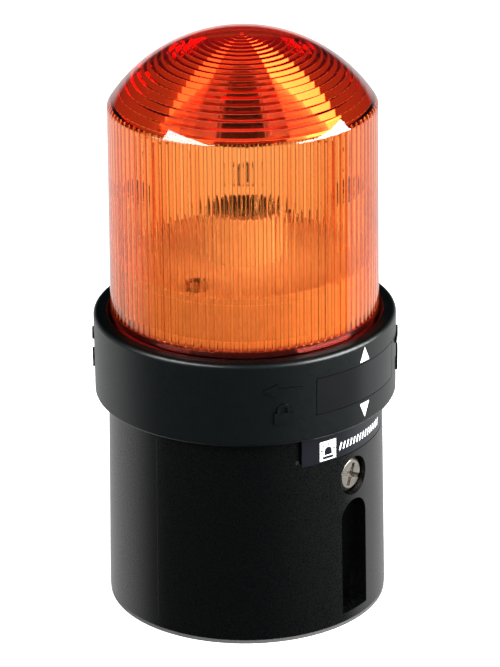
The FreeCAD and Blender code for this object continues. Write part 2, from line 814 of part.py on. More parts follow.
def build_contact_carrier():
    disc = cylinder("carrier_disc", "carrier_radius", "carrier_top - carrier_bottom",
                    z="carrier_bottom")
    holes = [cylinder(f"carrier_hole_{end}", "stud_stem_radius", "6",
                      x=f"{side} * stud_offset", z="carrier_bottom - 2") for end, side in POLES]
    finish("contact_carrier", cut("contact_carrier", disc, holes))


def build_contact_studs():
    studs = []
    for end, side in POLES:
        name = f"stud_{end}"
        place = f"{side} * stud_offset"
        head = cylinder(name + "_head", "stud_head_radius", "stud_top - carrier_top", x=place,
                        z="carrier_top")
        stem = cylinder(name + "_stem", "stud_stem_radius", "stud_top - 0.5 - stud_stem_bottom",
                        x=place, z="stud_stem_bottom")
        studs.append(fuse(name, [head, stem]))
    finish("contact_studs", group("contact_studs", studs))


def coil(name, radius, wire, pitch, height):
    """A coil spring standing on its own origin."""
    path = doc.addObject("Part::Helix", name + "_path")
    bind(path, Radius=radius, Pitch=pitch, Height=height)
    section = doc.addObject("Part::Circle", name + "_section")
    section.Placement = FreeCAD.Placement(FreeCAD.Vector(), FreeCAD.Rotation(ACROSS, 90))
    bind(section, Radius=wire, x=radius)
    sweep = doc.addObject("Part::Sweep", name)
    sweep.Sections = [section]
    sweep.Spine = (path, [])
    sweep.Solid = True
    sweep.Frenet = True
    return sweep


def build_contact_spring():
    room = "carrier_bottom - holder_floor_top - 2 * spring_wire_radius"
    spring = coil("spring", "spring_radius", "spring_wire_radius", "spring_pitch", room)
    finish("contact_spring", bind(spring, z="holder_floor_top + spring_wire_radius"))


# ---------------------------------------------------------------- lamp
def build_bulb_cap():
    tube = ring("cap_tube", "cap_bore_radius", "cap_radius", "cap_bottom", "cap_top")
    solids = [tube]
    for end, side in SIDES:
        solids.append(radial(f"pin_{end}", side, "pin_radius", "cap_bore_radius + 0.05",
                             "pin_tip - cap_bore_radius - 0.05", "pin_height"))
    finish("bulb_cap", fuse("bulb_cap", solids))


def build_bulb_insulator():
    disc = revolved("insulator_disc", [
        ("0", "insulator_face"),
        ("cap_radius - 1.6", "insulator_face"),
        ("cap_bore_radius", "cap_bottom + 0.3"),
        ("cap_bore_radius", "insulator_top"),
        ("0", "insulator_top"),
    ])
    finish("bulb_insulator", disc)


def build_bulb_contacts():
    dots = [cylinder(f"solder_{end}", "solder_radius", "insulator_face - solder_face",
                     x=f"{side} * stud_offset", z="solder_face") for end, side in POLES]
    finish("bulb_contacts", group("bulb_contacts", dots))


def build_bulb_glass():
    inner = "glass_radius - glass_wall"
    finish("bulb_glass", revolved("glass_body", [
        ("glass_neck_radius", "glass_neck_bottom"),
        ("glass_neck_radius", "glass_neck_top"),
        ("glass_radius", "glass_body_bottom"),
        ("glass_radius", "glass_body_top", "glass_radius"),
        ("0", "glass_body_top + glass_radius"),
        ("0", f"glass_body_top + {inner}", f"-({inner})"),
        (inner, "glass_body_top"),
        (inner, "glass_body_bottom"),
        ("glass_neck_radius - glass_wall", "glass_neck_top"),
        ("glass_neck_radius - glass_wall", "glass_neck_bottom"),
    ]))


def build_bulb_stem():
    finish("bulb_stem", revolved("stem_body", [
        ("0", "glass_neck_bottom"),
        ("stem_foot_radius", "glass_neck_bottom"),
        ("stem_foot_radius", "glass_neck_bottom + 0.6"),
        ("stem_waist_radius", "stem_waist_height"),
        ("stem_waist_radius", "stem_top"),
        ("0", "stem_top"),
    ]))


def build_bulb_filament():
    leads = [cylinder(f"lead_{end}", "filament_lead_radius", "filament_height - stem_top",
                      x=f"{side} * (filament_lead_offset)", z="stem_top") for end, side in POLES]
    spiral = coil("filament", "filament_coil_radius", "filament_wire_radius", "filament_pitch",
                  "2 * filament_lead_offset - 1")
    flat = FreeCAD.Rotation(ALONG, 90)
    start = FreeCAD.Vector(0.5 - value("filament_lead_offset"), 0, value("filament_height"))
    spiral.Placement = FreeCAD.Placement(start, flat)
    finish("bulb_filament", group("bulb_filament", leads + [spiral]))


# ---------------------------------------------------------------- lens
def build_lens():
    def sphere(name, across):
        return f"{name}_centre + sqrt({name}_radius ^ 2 - ({across}) ^ 2)"

    outline = [
        ("lens_skirt_bore_radius", "lens_skirt_bottom"),
        ("lens_skirt_radius", "lens_skirt_bottom"),
        ("lens_skirt_radius", "lens_flange_top"),
        ("lens_foot_radius", "lens_flange_top"),
        ("lens_shoulder_radius", sphere("dome", "lens_shoulder_radius"), "dome_radius"),
        ("0", "dome_centre + dome_radius"),
        ("0", sphere("bore", "step_pitch")),
    ]
    for step in range(1, int(value("step_count"))):
        across = f"{step} * step_pitch"
        outline.append((across, sphere("bore", across)))
        outline.append((across, sphere("bore", f"{step + 1} * step_pitch")))
    outline += [
        ("lens_root_radius", sphere("bore", "step_count * step_pitch")),
        ("lens_root_radius", "rib_bottom"),
        ("lens_land_radius", "rib_bottom - 0.4"),
        ("lens_land_radius", "lens_land_bottom"),
        ("lens_skirt_bore_radius", "lens_skirt_shoulder"),
    ]
    shell = revolved("lens_shell", outline)
    sketch = new_sketch(shell, "rib_outline", "XY_Plane")
    bind(sketch, **{"AttachmentOffset.Base.z": "rib_bottom"})
    draw_outline(sketch, [
        ("rib_tip_radius", "0"),
        ("lens_root_radius + 0.06", "rib_half_width"),
        ("lens_root_radius + 0.06", "-rib_half_width"),
    ])
    pad = shell.newObject("PartDesign::Pad", "rib")
    pad.Profile = sketch
    bind(pad, Length="rib_top - rib_bottom")
    doc.recompute()
    ribs = shell.newObject("PartDesign::PolarPattern", "ribs")
    ribs.Originals = [pad]
    ribs.Axis = (sketch, ["N_Axis"])
    ribs.Angle = 360
    bind(ribs, Occurrences="rib_count")
    shell.Tip = ribs
    doc.recompute()
    lugs = [ring_sector(f"lug_{number}", "lug_tip_radius", "lens_skirt_bore_radius + 0.4",
                        "lug_bottom", "lug_top", angle, "lug_half_angle")
            for number, angle in enumerate(LUG_ANGLES)]
    lens = doc.addObject("Part::MultiFuse", "lens")
    lens.Shapes = [shell] + lugs
    lens.Refine = False
    finish("lens", lens)


# ---------------------------------------------------------------- collar
def arrow(name, way, angle):
    """A flat arrow; way is -1 when it points left as seen from outside."""
    tip = f"{way} * arrow_half_length"
    barb = f"{way} * (arrow_half_length - arrow_head_length)"
    tail = f"{-way} * arrow_half_length"
    return front_prism(name, [
        (tip, "arrow_height"),
        (barb, "arrow_height + arrow_head_half_width"),
        (barb, "arrow_height + arrow_shaft_half_width"),
        (tail, "arrow_height + arrow_shaft_half_width"),
        (tail, "arrow_height - arrow_shaft_half_width"),
        (barb, "arrow_height - arrow_shaft_half_width"),
        (barb, "arrow_height - arrow_head_half_width"),
    ], angle)


def padlock(name, opened, angle):
    """A padlock; an open one has its shackle swung out to one side."""
    top = "padlock_height + padlock_body_height / 2"
    bottom = "padlock_height - padlock_body_height / 2"
    body = front_prism(name + "_body", [
        ("-padlock_half_width", bottom),
        ("padlock_half_width", bottom),
        ("padlock_half_width", top),
        ("-padlock_half_width", top),
    ], angle)
    shift = "shackle_open_shift" if opened else "shackle_shut_shift"
    crown = f"{top} + shackle_leg"
    foot = f"{top} - shackle_overlap"
    shackle = front_prism(name + "_shackle", [
        (f"{shift} + shackle_bore_radius", foot),
        (f"{shift} + shackle_radius", foot),
        (f"{shift} + shackle_radius", crown, "shackle_radius"),
        (shift, f"{crown} + shackle_radius", "shackle_radius"),
        (f"{shift} - shackle_radius", crown),
        (f"{shift} - shackle_radius", foot),
        (f"{shift} - shackle_bore_radius", foot),
        (f"{shift} - shackle_bore_radius", crown, "-shackle_bore_radius"),
        (shift, f"{crown} + shackle_bore_radius", "-shackle_bore_radius"),
        (f"{shift} + shackle_bore_radius", crown),
    ], angle)
    return [body, shackle]


def triangle_prisms(name):
    """The index triangles' outlines: one points up, one points down."""
    prisms = []
    for end, base, tip in (("upper", "upper_triangle_base", "upper_triangle_tip"),
                           ("lower", "lower_triangle_base", "lower_triangle_tip")):
        prisms.append(front_prism(f"{name}_{end}", [
            ("-triangle_half_width", base),
            ("triangle_half_width", base),
            ("0", tip),
        ]))
    return prisms


def build_collar():
    shell = revolved("collar_shell", [
        ("collar_bore_radius", "collar_bottom"),
        ("collar_radius - collar_edge", "collar_bottom", "collar_edge"),
        ("collar_radius", "collar_bottom + collar_edge"),
        ("collar_radius", "collar_top - collar_rim_edge", "collar_rim_edge"),
        ("collar_radius - collar_rim_edge", "collar_top"),
        ("collar_lip_radius + collar_lip_edge", "collar_top"),
        ("collar_lip_radius", "collar_top - collar_lip_edge"),
        ("collar_lip_radius", "collar_lip_bottom"),
        ("collar_bore_radius", "collar_lip_bottom"),
    ])
    legend = ring_sector("legend_recess", "legend_inner_radius - 0.02", "collar_radius + 1",
                         "legend_bottom - legend_gap", "legend_top + legend_gap", FRONT_ANGLE,
                         "legend_half_angle + legend_gap_angle")
    wells = common("triangle_wells", [
        ring("triangle_well_ring", "triangle_floor_radius", "collar_radius + 1", "collar_bottom",
             "collar_top"),
        fuse("triangle_well_prisms", triangle_prisms("well"))])
    marks = []
    for end, side in SIDES:
        around = 0 if side < 0 else 180
        away = value("emboss_angle")
        marks.append(arrow(f"close_arrow_{end}", -1, around - away))
        marks.extend(padlock(f"closed_padlock_{end}", False, around - away))
        marks.append(arrow(f"open_arrow_{end}", 1, around + away))
        marks.extend(padlock(f"open_padlock_{end}", True, around + away))
    relief = common("emboss", [
        ring("emboss_ring", "collar_radius - 0.2", "emboss_radius", "collar_bottom", "collar_top"),
        fuse("emboss_prisms", marks)])
    body = cut("collar_body", shell, [legend, wells])
    finish("collar", fuse("collar", [body, relief]))


def build_legend_plate():
    finish("legend_plate", ring_sector("legend_body", "legend_inner_radius", "collar_radius",
                                       "legend_bottom", "legend_top", FRONT_ANGLE,
                                       "legend_half_angle"))


def build_index_triangles():
    skin = ring("triangle_ring", "triangle_floor_radius", "triangle_face_radius",
                "collar_bottom", "collar_top")
    flat = fuse("triangle_prisms", triangle_prisms("triangle"))
    finish("index_triangles", common("index_triangles", [skin, flat]))


build_base_gasket()
build_base_housing()
build_cable_grommet()
build_name_plate()
build_side_screws()
build_screw_inserts()
build_chassis()
build_collar_seal()
build_terminal_block()
build_terminal_clamps()
build_terminal_screws()
build_contact_strips()
build_lampholder()
build_lamp_plate()
build_plate_screws()
build_contact_carrier()
build_contact_studs()
build_contact_spring()
build_bulb_cap()
build_bulb_insulator()
build_bulb_contacts()
build_bulb_glass()
build_bulb_stem()
build_bulb_filament()
build_lens()
build_collar()
build_legend_plate()
build_index_triangles()
doc.recompute()

# ---------------------------------------------------------------- checks and export
for thing in doc.Objects:
    if "Invalid" in thing.State or "Error" in thing.State:
        raise RuntimeError(f"{thing.Label} failed: {thing.State}")
for label, thing in parts.items():
    shape = thing.Shape
    if shape.isNull() or not shape.isValid() or not shape.Solids:
        raise RuntimeError(f"{label} has no valid solid")
    print(f"{label}: {len(shape.Solids)} solid(s), {shape.Volume:.1f} mm3")

os.makedirs("parts", exist_ok=True)
for label, thing in parts.items():
    thing.Shape.exportStep(os.path.join("parts", label + ".step"))
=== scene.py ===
"""Signal beacon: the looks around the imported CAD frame. Lengths are in metres."""
import json
import math

import bpy
from mathutils import Matrix, Vector


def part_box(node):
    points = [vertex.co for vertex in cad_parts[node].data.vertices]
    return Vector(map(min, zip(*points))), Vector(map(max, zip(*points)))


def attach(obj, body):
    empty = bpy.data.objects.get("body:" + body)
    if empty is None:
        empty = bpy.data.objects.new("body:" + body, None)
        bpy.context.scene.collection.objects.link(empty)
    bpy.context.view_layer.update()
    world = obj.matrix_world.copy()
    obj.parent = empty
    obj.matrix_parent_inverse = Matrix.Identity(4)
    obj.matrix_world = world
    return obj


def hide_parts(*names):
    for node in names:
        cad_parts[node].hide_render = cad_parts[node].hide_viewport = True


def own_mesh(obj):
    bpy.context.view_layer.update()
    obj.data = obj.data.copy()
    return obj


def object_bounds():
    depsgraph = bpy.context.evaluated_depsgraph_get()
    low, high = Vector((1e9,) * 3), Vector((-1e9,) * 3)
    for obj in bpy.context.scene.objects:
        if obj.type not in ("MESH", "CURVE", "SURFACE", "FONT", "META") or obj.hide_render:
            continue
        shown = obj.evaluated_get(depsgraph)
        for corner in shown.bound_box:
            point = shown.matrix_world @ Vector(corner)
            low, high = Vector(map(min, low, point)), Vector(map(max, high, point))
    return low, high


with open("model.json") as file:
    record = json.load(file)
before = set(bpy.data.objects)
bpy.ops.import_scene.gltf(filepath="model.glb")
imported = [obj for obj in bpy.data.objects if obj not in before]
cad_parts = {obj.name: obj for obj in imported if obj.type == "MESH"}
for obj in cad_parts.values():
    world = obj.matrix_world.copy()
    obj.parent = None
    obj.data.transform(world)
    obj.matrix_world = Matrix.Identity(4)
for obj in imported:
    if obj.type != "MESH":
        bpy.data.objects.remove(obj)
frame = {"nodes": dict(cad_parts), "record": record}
cad_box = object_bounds()
nodes = frame["nodes"]
MM = 0.001
FULL_TURN = 2 * math.pi


# ---------------------------------------------------------------- camera
CAMERA_AZIMUTH = math.radians(-50.5)
CAMERA_ELEVATION = math.radians(22.7)
CAMERA_ROLL = math.radians(-0.57)
CAMERA_DISTANCE = 850 * MM
CAMERA_LENS_MM = 184.6
LOOK_AT_HEIGHT = 68.4 * MM
LOOK_AT_ASIDE = 1.25 * MM

camera_right = Vector((math.cos(CAMERA_AZIMUTH), math.sin(CAMERA_AZIMUTH), 0))
camera_ground = Vector((math.sin(CAMERA_AZIMUTH), -math.cos(CAMERA_AZIMUTH), 0))


def from_camera_side(towards, aside, up):
    """A direction given as parts towards the camera, to its right and upwards."""
    return camera_ground * towards + camera_right * aside + Vector((0, 0, up))


def build_camera():
    towards = from_camera_side(math.cos(CAMERA_ELEVATION), 0, math.sin(CAMERA_ELEVATION))
    level_up = towards.cross(camera_right)
    right = camera_right * math.cos(CAMERA_ROLL) + level_up * math.sin(CAMERA_ROLL)
    up = level_up * math.cos(CAMERA_ROLL) - camera_right * math.sin(CAMERA_ROLL)
    data = bpy.data.cameras.new("camera")
    data.lens = CAMERA_LENS_MM
    data.clip_start = 10 * MM
    camera = bpy.data.objects.new("camera", data)
    look_at = camera_right * LOOK_AT_ASIDE + Vector((0, 0, LOOK_AT_HEIGHT))
    turn = Matrix((right, up, towards)).transposed()
    camera.matrix_world = Matrix.Translation(look_at + towards * CAMERA_DISTANCE) @ turn.to_4x4()
    bpy.context.scene.collection.objects.link(camera)
    bpy.context.scene.camera = camera


# ---------------------------------------------------------------- studio
PANEL_DISTANCE = 1.0
# the softboxes look at a point this share of the way up the object
PANEL_AIM = 0.8
# each softbox: the sides it spans, in degrees round from the camera (right is positive) and
# above the horizon, and how bright it looks
PANELS = {
    "softbox_right": ((46, 100), (2, 34), 18.0),
    "softbox_left_high": ((-71, -31), (27, 43), 16.0),
    "softbox_left_low": ((-80, -48), (4, 26), 4.2),
}


def build_panel(name, around, above, brightness):
    """A softbox that fills the given sides, seen from the object."""
    middle_around = math.radians(sum(around) / 2)
    middle_above = math.radians(sum(above) / 2)
    away = from_camera_side(math.cos(middle_around) * math.cos(middle_above),
                            math.sin(middle_around) * math.cos(middle_above),
                            math.sin(middle_above))
    data = bpy.data.lights.new(name, "AREA")
    data.shape = "RECTANGLE"
    data.size = 2 * PANEL_DISTANCE * math.tan(math.radians(around[1] - around[0]) / 2)
    data.size_y = 2 * PANEL_DISTANCE * math.tan(math.radians(above[1] - above[0]) / 2)
    data.energy = brightness * math.pi * data.size * data.size_y
    lamp = bpy.data.objects.new(name, data)
    lamp.location = Vector((0, 0, cad_box[1][2] * PANEL_AIM)) + away * PANEL_DISTANCE
    lamp.rotation_euler = away.to_track_quat("Z", "Y").to_euler()
    bpy.context.scene.collection.objects.link(lamp)


# how bright the sweep is seen through the lens, and mirrored in a surface
SWEEP_BEHIND = 1.45
SWEEP_MIRRORED = 0.82
ROOM = 0.03
# the cosines, measured round from the camera, between which the sweep fades out towards the
# front on each side, and what is left of it there
SWEEP_FADE_RIGHT = (-0.19, -0.11)
SWEEP_LEFT_OVER_RIGHT = 0.03
SWEEP_FADE_LEFT = (-0.45, 0.25)
SWEEP_LEFT_OVER_LEFT = 0.04
SIDES_BLEND = 0.15
# how far up a direction points where the sweep gives way to the dark room
SWEEP_TOP = (-0.05, 0.10)
SHORTEST_FLAT_PART = 0.02
# light that only reaches the inside of the lens
FILL_IN_FRONT = 0.7
FILL_ABOVE = 0.55
FILL_FADE = (-0.2, 0.5)


def build_world():
    """A white sweep behind the object and a dark room in front and above."""
    world = bpy.data.worlds.new("studio")
    world.use_nodes = True
    bpy.context.scene.world = world
    tree = world.node_tree
    background = tree.nodes["Background"]
    background.inputs["Color"].default_value = (1, 1, 1, 1)

    def math_node(operation, a, b=None, c=None):
        made = tree.nodes.new("ShaderNodeMath")
        made.operation = operation
        for index, given in enumerate((a, b, c)):
            if given is None:
                continue
            if isinstance(given, (int, float)):
                made.inputs[index].default_value = given
            else:
                tree.links.new(given, made.inputs[index])
        return made.outputs[0]

    def along(direction):
        made = tree.nodes.new("ShaderNodeVectorMath")
        made.operation = "DOT_PRODUCT"
        tree.links.new(place.outputs["Generated"], made.inputs[0])
        made.inputs[1].default_value = direction
        return made.outputs["Value"]

    def smooth(given, low, high, low_value, high_value):
        made = tree.nodes.new("ShaderNodeMapRange")
        made.interpolation_type = "SMOOTHSTEP"
        tree.links.new(given, made.inputs["Value"])
        made.inputs["From Min"].default_value = low
        made.inputs["From Max"].default_value = high
        made.inputs["To Min"].default_value = low_value
        made.inputs["To Max"].default_value = high_value
        return made.outputs["Result"]

    place = tree.nodes.new("ShaderNodeTexCoord")
    towards = along(camera_ground)
    aside = along(camera_right)
    up = along((0, 0, 1))
    flat_length = math_node("SQRT", math_node("ADD", math_node("MULTIPLY", towards, towards),
                                              math_node("MULTIPLY", aside, aside)))
    cosine = math_node("DIVIDE", towards,
                       math_node("MAXIMUM", flat_length, SHORTEST_FLAT_PART))
    right_glow = smooth(cosine, *SWEEP_FADE_RIGHT, 1.0, SWEEP_LEFT_OVER_RIGHT)
    left_glow = smooth(cosine, *SWEEP_FADE_LEFT, 1.0, SWEEP_LEFT_OVER_LEFT)
    side = smooth(aside, -SIDES_BLEND, SIDES_BLEND, 0.0, 1.0)
    sweep = math_node("ADD", math_node("MULTIPLY", right_glow, side),
                      math_node("MULTIPLY", left_glow, math_node("SUBTRACT", 1.0, side)))
    raised = smooth(up, *SWEEP_TOP, 0.0, 1.0)
    path = tree.nodes.new("ShaderNodeLightPath")
    sweep = math_node("MULTIPLY", sweep,
                      math_node("MULTIPLY_ADD", path.outputs["Is Transmission Ray"],
                                SWEEP_BEHIND - SWEEP_MIRRORED, SWEEP_MIRRORED))
    light = math_node("MULTIPLY_ADD", sweep, math_node("SUBTRACT", 1.0, raised),
                      math_node("MULTIPLY", raised, ROOM))
    fill = math_node("MULTIPLY_ADD", raised, FILL_ABOVE,
                     smooth(cosine, *FILL_FADE, 0.0, FILL_IN_FRONT))
    light = math_node("MULTIPLY_ADD", fill, path.outputs["Is Transmission Ray"], light)
    shown = math_node("MAXIMUM", light, path.outputs["Is Camera Ray"])
    tree.links.new(shown, background.inputs["Strength"])


def build_floor():
    """A wide white floor that nothing mirrors or refracts."""
    size = 3.0
    mesh = bpy.data.meshes.new("floor")
    corners = [(-size, -size, 0), (size, -size, 0), (size, size, 0), (-size, size, 0)]
    mesh.from_pydata(corners, [], [(0, 1, 2, 3)])
    floor = bpy.data.objects.new("floor", mesh)
    bpy.context.scene.collection.objects.link(floor)
    paint = bpy.data.materials.new("floor_white")
    paint.use_nodes = True
    surface = paint.node_tree.nodes["Principled BSDF"]
    surface.inputs["Base Color"].default_value = (0.8, 0.8, 0.8, 1)
    surface.inputs["Roughness"].default_value = 0.9
    surface.inputs["Emission Color"].default_value = (1, 1, 1, 1)
    surface.inputs["Emission Strength"].default_value = 0.8
    mesh.materials.append(paint)
    floor.visible_glossy = False
    floor.visible_transmission = False


# ---------------------------------------------------------------- materials
# most of a noise pattern lies between these values
NOISE_LOW = 0.3
NOISE_HIGH = 0.7


class Finish:
    """A procedural material; sizes of its patterns are in metres."""

    def __init__(self, name, base, roughness, **sockets):
        self.material = bpy.data.materials.new(name)
        self.material.use_nodes = True
        self.tree = self.material.node_tree
        self.surface = self.tree.nodes["Principled BSDF"]
        self.set("Base Color", (*base, 1))
        self.set("Roughness", roughness)
        for socket, given in sockets.items():
            self.set(socket.replace("_", " "), given)
        self.place = self.tree.nodes.new("ShaderNodeTexCoord").outputs["Object"]

    def set(self, socket, given):
        self.surface.inputs[socket].default_value = given

    def stretched(self, factors):
        made = self.tree.nodes.new("ShaderNodeVectorMath")
        made.operation = "MULTIPLY"
        self.tree.links.new(self.place, made.inputs[0])
        made.inputs[1].default_value = factors
        return made.outputs[0]

    def noise(self, size, detail=2, roughness=0.5, stretch=(1, 1, 1)):
        made = self.tree.nodes.new("ShaderNodeTexNoise")
        made.inputs["Scale"].default_value = 1 / size
        made.inputs["Detail"].default_value = detail
        made.inputs["Roughness"].default_value = roughness
        self.tree.links.new(self.stretched(stretch), made.inputs["Vector"])
        return made.outputs["Fac"]

    def height_above(self, low, high):
        """0 below low and 1 above high."""
        parts = self.tree.nodes.new("ShaderNodeSeparateXYZ")
        self.tree.links.new(self.place, parts.inputs[0])
        return self.range(parts.outputs["Z"], low, high, 0, 1)

    def range(self, given, low, high, low_value, high_value):
        made = self.tree.nodes.new("ShaderNodeMapRange")
        self.tree.links.new(given, made.inputs["Value"])
        made.inputs["From Min"].default_value = low
        made.inputs["From Max"].default_value = high
        made.inputs["To Min"].default_value = low_value
        made.inputs["To Max"].default_value = high_value
        return made.outputs["Result"]

    def roughness_by(self, given, low_value, high_value):
        self.tree.links.new(self.range(given, NOISE_LOW, NOISE_HIGH, low_value, high_value),
                            self.surface.inputs["Roughness"])

    def colour_by(self, given, first, second):
        self.colour_between(self.range(given, NOISE_LOW, NOISE_HIGH, 0, 1), first, second)

    def colour_between(self, share, first, second):
        self.tree.links.new(self.mixed(share, first, second), self.surface.inputs["Base Color"])

    def mixed(self, share, first, second):
        """The colour between two, each given as a colour or as a socket."""
        made = self.tree.nodes.new("ShaderNodeMix")
        made.data_type = "RGBA"
        self.tree.links.new(share, made.inputs[0])
        for socket, given in ((made.inputs[6], first), (made.inputs[7], second)):
            if isinstance(given, tuple):
                socket.default_value = (*given, 1)
            else:
                self.tree.links.new(given, socket)
        return made.outputs[2]

    def bump(self, given, depth):
        made = self.tree.nodes.new("ShaderNodeBump")
        made.inputs["Distance"].default_value = depth
        self.tree.links.new(given, made.inputs["Height"])
        self.tree.links.new(made.outputs["Normal"], self.surface.inputs["Normal"])


def spark_plastic(name, base, light, roughness, grain=0.32 * MM, depth=0.016 * MM, level=0.5):
    """Moulded plastic with a fine spark-eroded grain and a slight cloudiness."""
    finish = Finish(name, base, roughness, Specular_IOR_Level=level)
    fine = finish.noise(grain, detail=1)
    mottle = finish.noise(0.9 * MM, detail=4, roughness=0.7)
    finish.colour_by(mottle, base, light)
    finish.roughness_by(fine, roughness - 0.06, roughness + 0.06)
    finish.bump(fine, depth)
    return finish.material


def moulded_plastic(name, base, light, roughness):
    """Smooth moulded plastic with faint flow waves."""
    finish = Finish(name, base, roughness)
    cloud = finish.noise(6 * MM, detail=3)
    finish.colour_by(cloud, base, light)
    fine = finish.noise(0.7 * MM, detail=2)
    finish.roughness_by(fine, roughness - 0.05, roughness + 0.05)
    finish.bump(fine, 0.006 * MM)
    return finish.material


# how far up a face looks where its shine begins to fade, and where only the least is left
SHINE_FADE = (0.75, 0.97)
SHINE = 0.5
LEAST_SHINE = 0.05


def dull_on_top(material):
    """Faces that look up shine less than the sides."""
    tree = material.node_tree
    parts = tree.nodes.new("ShaderNodeSeparateXYZ")
    tree.links.new(tree.nodes.new("ShaderNodeNewGeometry").outputs["True Normal"], parts.inputs[0])
    level = tree.nodes.new("ShaderNodeMapRange")
    tree.links.new(parts.outputs["Z"], level.inputs["Value"])
    level.inputs["From Min"].default_value = SHINE_FADE[0]
    level.inputs["From Max"].default_value = SHINE_FADE[1]
    level.inputs["To Min"].default_value = SHINE
    level.inputs["To Max"].default_value = LEAST_SHINE
    tree.links.new(level.outputs["Result"],
                   tree.nodes["Principled BSDF"].inputs["Specular IOR Level"])
    return material


def rubber(name, base, light, roughness, grain):
    """Matt rubber with a pitted surface."""
    finish = Finish(name, base, roughness)
    fine = finish.noise(grain, detail=3)
    finish.colour_by(fine, base, light)
    finish.bump(fine, grain * 0.12)
    return finish.material


def plated_metal(name, base, dark, roughness, stretch=(1, 1, 1)):
    """Metal with fine tool lines and uneven plating."""
    finish = Finish(name, base, roughness, Metallic=1.0)
    cloud = finish.noise(1.6 * MM, detail=3)
    finish.colour_by(cloud, dark, base)
    lines = finish.noise(0.12 * MM, detail=2, stretch=stretch)
    finish.roughness_by(lines, roughness - 0.08, roughness + 0.12)
    finish.bump(lines, 0.004 * MM)
    return finish.material


def satin_film(name, base, light, roughness):
    """A thin printed or plastic film with a faint texture."""
    finish = Finish(name, base, roughness)
    fine = finish.noise(0.18 * MM, detail=2)
    finish.colour_by(finish.noise(5 * MM, detail=2), base, light)
    finish.roughness_by(fine, roughness - 0.04, roughness + 0.04)
    finish.bump(fine, 0.003 * MM)
    return finish.material


def clear_glass():
    """Thin bulb glass: its low index keeps the light nearly straight."""
    finish = Finish("clear_glass", (0.97, 0.98, 0.98), 0.02, Transmission_Weight=1.0, IOR=1.08)
    finish.bump(finish.noise(3 * MM, detail=1), 0.01 * MM)
    return finish.material


# the lens absorbs light for each metre that it crosses
LENS_DENSITY = 1000.0
LENS_TINT = (0.970, 0.695, 0.36)
# painted shade: above this height the dome's base colour is a deeper red than the rest of the lens
DOME_PAINTED_SHADE = (0.98, 0.46, 0.95)
DOME_PAINTED_SHADE_FROM = 129.6 * MM
DOME_PAINTED_SHADE_FADE = 1 * MM
# painted shade: up to this height, where the collar rim shades the lens foot, the base colour
# turns a darker crimson
FOOT_PAINTED_SHADE = (0.62, 0.20, 0.50)
FOOT_PAINTED_SHADE_UP_TO = 77.2 * MM
FOOT_PAINTED_SHADE_FADE = 0.5 * MM


def orange_lens():
    """Clear orange polycarbonate: the tint deepens with the thickness that light crosses. Its foot
    and dome carry painted shade in their base colour.
    """
    finish = Finish("orange_lens", (1, 1, 1), 0.03, Transmission_Weight=1.0, IOR=1.58)
    # painted shade in the base colour: darker crimson at the foot, a deeper red in the dome, clear
    # white between
    above_foot_shade = finish.height_above(FOOT_PAINTED_SHADE_UP_TO, FOOT_PAINTED_SHADE_UP_TO + FOOT_PAINTED_SHADE_FADE)
    in_dome_shade = finish.height_above(DOME_PAINTED_SHADE_FROM, DOME_PAINTED_SHADE_FROM + DOME_PAINTED_SHADE_FADE)
    finish.colour_between(in_dome_shade, finish.mixed(above_foot_shade, FOOT_PAINTED_SHADE, (1, 1, 1)), DOME_PAINTED_SHADE)
    finish.bump(finish.noise(7 * MM, detail=1), 0.004 * MM)
    body = finish.tree.nodes.new("ShaderNodeVolumeAbsorption")
    body.inputs["Color"].default_value = (*LENS_TINT, 1)
    body.inputs["Density"].default_value = LENS_DENSITY
    output = finish.tree.nodes["Material Output"]
    finish.tree.links.new(body.outputs["Volume"], output.inputs["Volume"])
    return finish.material


